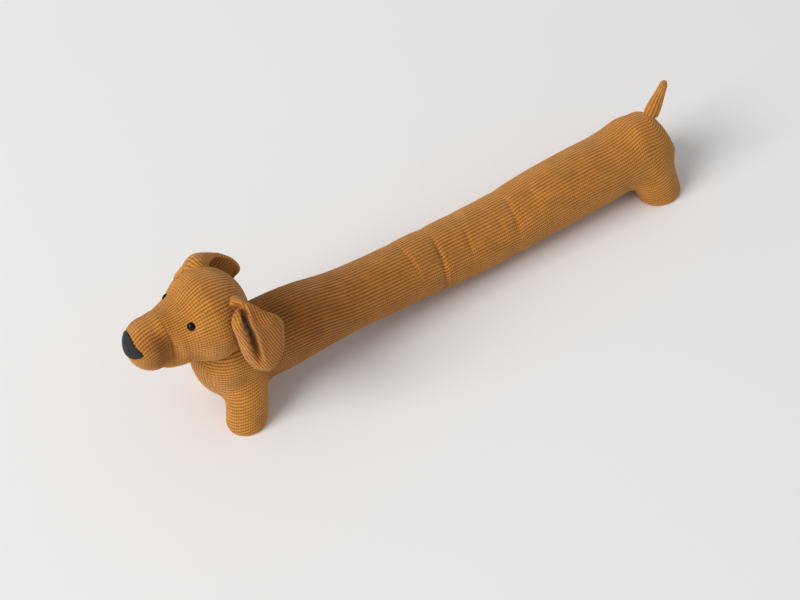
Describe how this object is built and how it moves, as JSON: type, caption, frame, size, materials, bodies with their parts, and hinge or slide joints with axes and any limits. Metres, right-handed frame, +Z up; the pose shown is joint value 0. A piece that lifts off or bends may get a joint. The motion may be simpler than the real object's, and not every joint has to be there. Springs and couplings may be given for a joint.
{
  "type": "draught excluder",
  "caption": "Draught excluder shaped like a long low dog in ribbed corduroy, with folded ears, a nose patch, bead eyes and an upright tail",
  "frame": {"origin": "bottom centre of the whole dog's box, on the floor", "axes": "+X towards the tail, +Y to the dog's right, +Z up"},
  "size_m": [0.8828, 0.1558, 0.2445],
  "materials": {
    "corduroy": "ochre jumbo corduroy, ribs about 4.5 mm apart, soft sheen",
    "nose_patch": "dark grey leather cloth, matt",
    "bead": "polished black"
  },
  "bodies": {
    "root": {"body": "corduroy", "head": "corduroy", "ear_left": "corduroy", "ear_right": "corduroy", "tail": "corduroy", "nose": "nose_patch", "eye_left": "bead", "eye_right": "bead"}
  },
  "joints": []
}
